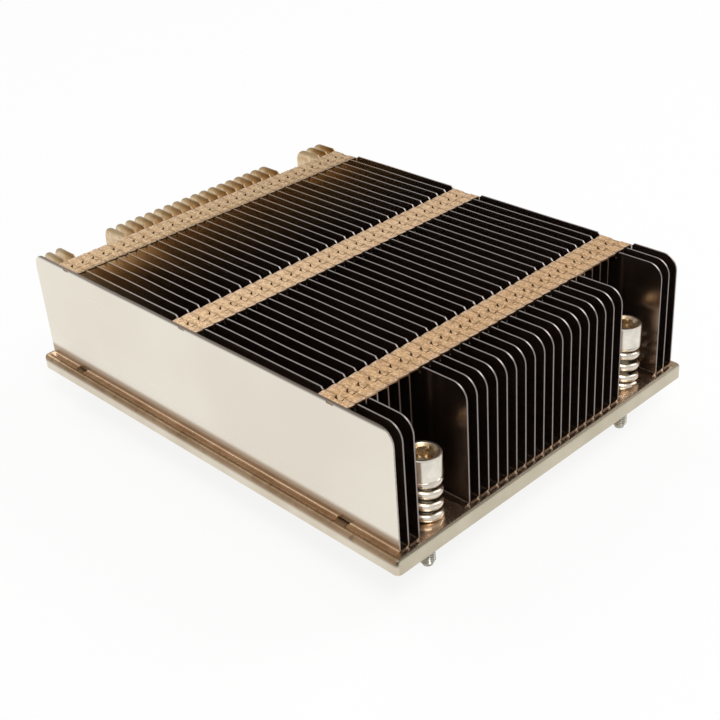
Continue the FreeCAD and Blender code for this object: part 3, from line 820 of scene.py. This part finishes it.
corners = ("front_left", "front_right", "rear_left", "rear_right")
spring_finish = bright_nickel("spring_nickel", (0.76, 0.69, 0.59), 0.16)
screw_finish = bright_nickel("screw_nickel", (0.84, 0.79, 0.69), 0.18, screw=True)
clip_finish = bright_nickel("clip_steel", (0.42, 0.42, 0.41), 0.3)
print("finishes:", spring_finish.name, screw_finish.name, clip_finish.name)

# %% Build the springs
COIL_START = {"front_left": -2.32 + 1.16 * math.pi, "front_right": -2.32, "rear_left": 0.6,
              "rear_right": 2.0}
for corner in corners:
    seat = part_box(f"spring_{corner}")
    middle = (seat[0] + seat[1]) / 2
    points = spring_points(middle, deck, seat[1].z, COIL_START[corner])
    spring = make_piece(f"spring_{corner}_coil", [(points, grid_cells(*points.shape[:2], wrap=True))])
    smooth_below(outward(spring), 60)
    spring.data.materials.append(spring_finish)
    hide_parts(f"spring_{corner}")
    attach(spring, "heatsink")
    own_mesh(spring)

# %% [markdown]
# ## The captive screws
#
# Each screw is turned: a round head with a dished top, a plain shank that the spring slides on,
# and a threaded end. The whole screw is one profile spun round its axis. The thread takes its
# depth from the angle and the height together, and the cross recess is pressed into the dish.

# %% Screw profile
SHANK_RADIUS = 1.45 * MM
HEAD_RADIUS = 3.3 * MM
GROOVE_RADIUS = 1.15 * MM
GROOVE = (0.05 * MM, 0.75 * MM)  # lower and upper side of the clip's groove
DISH_RADIUS = 2.6 * MM
DISH_DEPTH = 0.5 * MM
DISH_SLOPE = 0.6 * MM  # width of the ring on which the dish gets its depth
THREAD_TOP = -0.6 * MM
THREAD_PITCH = 0.5 * MM
THREAD_DEPTH = 0.27 * MM
POINT_ROWS, THREAD_ROWS, DISH_ROWS = 3, 84, 34


def screw_profile(low, seat, crown):
    """Radius and height of each ring, from the point up: chamfered end, thread, groove, shank, head
    with its rounded edges, and the dish, whose depth grows from its rim inwards and stays even."""
    thread = np.linspace(low + 0.5 * MM, THREAD_TOP, THREAD_ROWS)
    dish = np.linspace(DISH_RADIUS, 0, DISH_ROWS)
    shank, head, groove = SHANK_RADIUS, HEAD_RADIUS, GROOVE_RADIUS
    radius = [[0, 0.85 * MM, 0.95 * MM], np.full(THREAD_ROWS, shank), [shank, groove, groove, shank],
              [shank, shank, head - 0.15 * MM, head, head, head - 0.1 * MM, head - 0.3 * MM,
               2.9 * MM, 2.7 * MM], dish]
    height = [[low, low, low + 0.1 * MM], thread, [GROOVE[0], GROOVE[0], GROOVE[1], GROOVE[1]],
              [deck, seat, seat, seat + 0.15 * MM, crown - 0.3 * MM, crown - 0.1 * MM, crown, crown,
               crown - 0.05 * MM],
              crown - DISH_DEPTH * np.clip((DISH_RADIUS + 0.05 * MM - dish) / DISH_SLOPE, 0, 1)]
    return np.concatenate(radius), np.concatenate(height)


print(f"screws: {2 * HEAD_RADIUS / MM:.1f} mm heads, {THREAD_PITCH / MM:.1f} mm thread pitch")

# %% Screw formula
CROSS_REACH = 2.1 * MM
CROSS_HALF = 0.55 * MM
CROSS_DEPTH = (0.7, 1.1)  # mm at the ends of its arms, and how much more in the middle
RUN_IN = 0.9 * MM  # height over which the thread reaches its full width
SCREW_SIDES = 96


def screw_points(centre, low, seat, crown):
    """Profile spun round the axis. Thread: the radius drops by a triangle wave of height over pitch
    less the turn. Recess: the dish sinks where a point lies in either arm of the cross."""
    radius, height = screw_profile(low, seat, crown)
    turn = np.linspace(0, 2 * math.pi, SCREW_SIDES, endpoint=False)
    r = np.tile(radius[:, None], (1, SCREW_SIDES))
    z = np.tile(height[:, None], (1, SCREW_SIDES))
    rows = np.arange(len(radius))[:, None]
    in_thread = (rows >= POINT_ROWS) & (rows < POINT_ROWS + THREAD_ROWS)
    phase = (z / THREAD_PITCH - turn[None, :] / (2 * math.pi)) % 1.0
    run_in = np.clip((z - low) / RUN_IN, 0.6, 1)
    r = np.where(in_thread, (SHANK_RADIUS - THREAD_DEPTH * np.abs(2 * phase - 1)) * run_in, r)
    x, y = r * np.cos(turn), r * np.sin(turn)
    arm = np.maximum(np.abs(x), np.abs(y)) / CROSS_REACH
    slot = np.minimum(np.abs(x), np.abs(y)) / CROSS_HALF
    sunk = np.clip((1 - arm) * 6, 0, 1) * np.clip((1 - slot) * 4, 0, 1)
    in_dish = rows >= len(radius) - DISH_ROWS
    depth = (CROSS_DEPTH[0] + CROSS_DEPTH[1] * (1 - np.clip(arm, 0, 1))) * MM
    z = z - np.where(in_dish, sunk * depth, 0)
    return np.stack([x + centre[0], y + centre[1], z], axis=-1)

# %% Build the screws
for corner in corners:
    low_corner, high_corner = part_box(f"screw_{corner}")
    middle = (low_corner + high_corner) / 2
    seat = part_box(f"spring_{corner}")[1].z
    points = screw_points(middle, low_corner.z, seat, high_corner.z)
    screw = make_piece(f"screw_{corner}_turned", [(points, grid_cells(*points.shape[:2], wrap=True))],
                       weld=1e-7)
    smooth_below(outward(screw), SHARP_EDGE)
    screw.data.materials.append(screw_finish)
    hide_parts(f"screw_{corner}")
    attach(screw, f"screw_{corner}")
    dress(f"clip_{corner}", clip_finish)
print("screws built and clips dressed:", len(corners))

# %% [markdown]
# ## Floor, light and camera
#
# A pale sweep and soft lamps show metal best: what it mirrors is plain, so its own tint is seen.
# The floor is white to the eye and to the metal, and only its shadow is left to the lamps. Light
# Path tells a shader which kind of ray has met it, so the white costs the object no extra light.

# %% Rays of the eye and the metal
def eye_and_metal(tree):
    """1 for rays from the camera and for those that a glossy or a clear surface sends on, else 0.
    The camera's own socket comes with it."""
    rays = new_node(tree, "ShaderNodeLightPath", {}, {}).outputs
    most = rays["Is Camera Ray"]
    for kind in ("Is Glossy Ray", "Is Transmission Ray"):
        most = new_node(tree, "ShaderNodeMath", {"operation": "MAXIMUM"},
                        {0: most, 1: rays[kind]}).outputs[0]
    return most, rays["Is Camera Ray"]

# %% Floor
FLOOR_HALF = 3.0
FLOOR_PALE = (0.86, 0.86, 0.86, 1)
FLOOR_GLOW = 0.85  # share of the floor that shines by itself, to the eye and the metal


def pale_floor():
    """Matte and pale to the lamps; to the eye and the metal mostly an even white."""
    material = bpy.data.materials.new("pale_floor")
    material.use_nodes = True
    tree = material.node_tree
    tree.nodes.clear()
    matte = new_node(tree, "ShaderNodeBsdfDiffuse", {}, {"Color": FLOOR_PALE})
    glow = new_node(tree, "ShaderNodeEmission", {}, {"Strength": 1.0})
    seen, _ = eye_and_metal(tree)
    share = new_node(tree, "ShaderNodeMath", {"operation": "MULTIPLY"}, {0: seen, 1: FLOOR_GLOW})
    mix = new_node(tree, "ShaderNodeMixShader", {},
                   {0: share.outputs[0], 1: matte.outputs[0], 2: glow.outputs[0]})
    new_node(tree, "ShaderNodeOutputMaterial", {}, {"Surface": mix.outputs[0]})
    return material


floor_mesh = bpy.data.meshes.new("floor")
floor_corners = [(x * FLOOR_HALF, y * FLOOR_HALF, 0) for x, y in ((-1, -1), (1, -1), (1, 1), (-1, 1))]
floor_mesh.from_pydata(floor_corners, [], [(0, 1, 2, 3)])
floor = bpy.data.objects.new("floor", floor_mesh)
bpy.context.scene.collection.objects.link(floor)
floor.location.z = cad_low.z
floor_mesh.materials.append(pale_floor())
print(f"floor {(deck - cad_low.z) / MM:.1f} mm under the deck")

# %% Lamps
def soft_lamp(name, place, width, watts):
    """Square lamp that looks at the middle of the base."""
    light = bpy.data.lights.new(name, "AREA")
    light.shape = "SQUARE"
    light.size = width
    light.energy = watts
    lamp = bpy.data.objects.new(name, light)
    bpy.context.scene.collection.objects.link(lamp)
    lamp.location = place
    lamp.rotation_euler = (-Vector(place)).to_track_quat("-Z", "Y").to_euler()
    return lamp


lamps = [soft_lamp("key", (-0.25, -0.45, 0.75), 0.35, 4.0),
         soft_lamp("fill", (0.6, -0.2, 0.5), 0.5, 2.0),
         soft_lamp("back", (0.1, 0.6, 0.6), 0.4, 1.5)]
print("lamps, watts:", [lamp.data.energy for lamp in lamps])

# %% Sky
SKY = (0.8, 0.8, 0.8, 1)
SKY_ON_MATTE = 0.55  # strength for light that falls on the object
WHITER = 0.25  # added for the eye, which brings the sky to white

world = bpy.data.worlds.new("studio")
world.use_nodes = True
tree = world.node_tree
tree.nodes.clear()
seen, camera_ray = eye_and_metal(tree)
level = new_node(tree, "ShaderNodeMapRange", {}, {"Value": seen, "To Min": SKY_ON_MATTE, "To Max": 1.0})
strength = new_node(tree, "ShaderNodeMath", {"operation": "MULTIPLY_ADD"},
                    {0: camera_ray, 1: WHITER, 2: level.outputs[0]})
sky = new_node(tree, "ShaderNodeBackground", {}, {"Color": SKY, "Strength": strength.outputs[0]})
new_node(tree, "ShaderNodeOutputWorld", {}, {"Surface": sky.outputs[0]})
bpy.context.scene.world = world
bpy.context.scene.view_settings.view_transform = "Standard"
print("sky strength:", SKY_ON_MATTE, "on matte surfaces, 1 in metal")

# %% Camera
def aim_camera(azimuth, elevation, roll, target, distance, lens, shift):
    """Camera on a sphere round the target: right, up and forward from the two angles, then a roll."""
    a, e, r = (math.radians(v) for v in (azimuth, elevation, roll))
    forward = np.array([math.sin(a) * math.cos(e), math.cos(a) * math.cos(e), -math.sin(e)])
    right = np.array([math.cos(a), -math.sin(a), 0.0])
    up = np.cross(right, forward)
    matrix = np.eye(4)
    matrix[:3, 0] = math.cos(r) * right + math.sin(r) * up
    matrix[:3, 1] = -math.sin(r) * right + math.cos(r) * up
    matrix[:3, 2] = -forward
    matrix[:3, 3] = np.array(target) - forward * distance
    data = bpy.data.cameras.new("view")
    data.lens = lens
    data.sensor_width = 36.0
    data.shift_x, data.shift_y = shift
    data.clip_start = 0.01
    camera = bpy.data.objects.new("view", data)
    bpy.context.scene.collection.objects.link(camera)
    camera.matrix_world = Matrix(matrix.tolist())
    bpy.context.scene.camera = camera
    return camera


camera = aim_camera(azimuth=42.99, elevation=30.45, roll=-3.94, target=(-0.006355, -0.013439, 0.010),
                    distance=0.24169, lens=62.67, shift=(-0.0183, 0.0034))
print("camera at, mm:", [round(v / MM, 1) for v in camera.matrix_world.translation])
